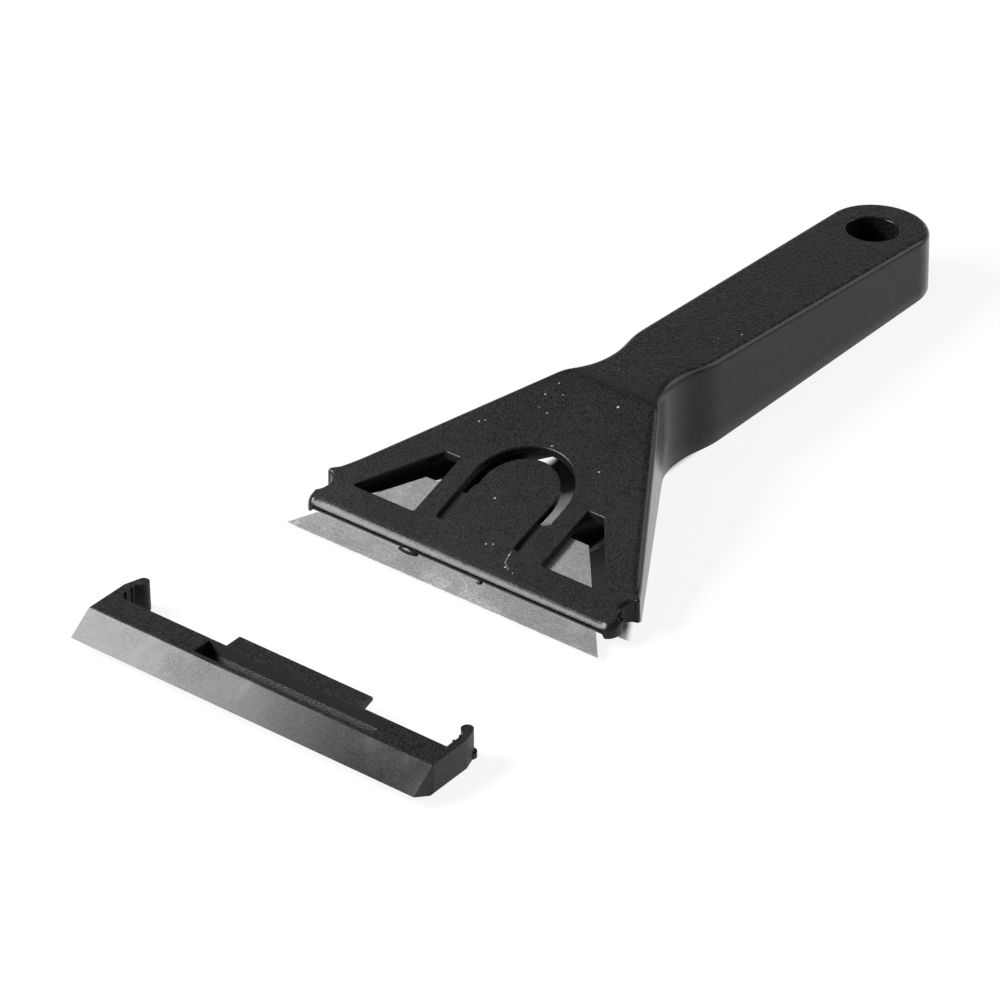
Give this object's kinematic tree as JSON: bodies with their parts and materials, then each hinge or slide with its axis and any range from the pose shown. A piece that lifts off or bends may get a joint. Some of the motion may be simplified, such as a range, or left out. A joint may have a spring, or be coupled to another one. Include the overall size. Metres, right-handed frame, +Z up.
{
  "type": "window scraper",
  "caption": "Hollow moulded handle that widens to a flat head and holds a trapezoid steel blade under a sprung tongue, with a clip-on guard for the cutting edge lying in front.",
  "frame": {"origin": "centre of the whole part's box in X and Y, on the surface that the scraper and its guard lie on", "axes": "+X runs from the guard and the cutting edge back along the handle to the hang hole, +Y to the left as the blade points at the viewer's left, +Z up"},
  "size_m": [0.284, 0.1084, 0.0264],
  "materials": {
    "holder_plastic": "black polypropylene with a fine spark-eroded grain on the top faces and smoother, slightly glossy edges",
    "blade_steel": "rolled steel strip with a fine bevel ground along the cutting edge",
    "guard_plastic": "black polypropylene, satin, with faint flow marks on the sloped front"
  },
  "bodies": {
    "holder": {"holder": "holder_plastic"},
    "tongue": {"release_tongue": "holder_plastic"},
    "blade": {"blade": "blade_steel"},
    "guard": {"blade_guard": "guard_plastic"}
  },
  "joints": [
    {"name": "tongue_lift", "type": "hinge", "parent": "holder", "child": "tongue", "pos_m": [-0.0503, -0.0021, 0.00884], "axis": [0, -1, 0], "range_deg": [0, 6], "stiffness_Nm_per_rad": 0.3},
    {"name": "blade_change", "type": "slide", "parent": "holder", "child": "blade", "axis": [-0.9511, 0, -0.309], "range_m": [0, 0.042]},
    {"name": "guard_on", "type": "slide", "parent": "holder", "child": "guard", "axis": [0.9995, -0.0326, 0], "range_m": [0, 0.06433]}
  ]
}
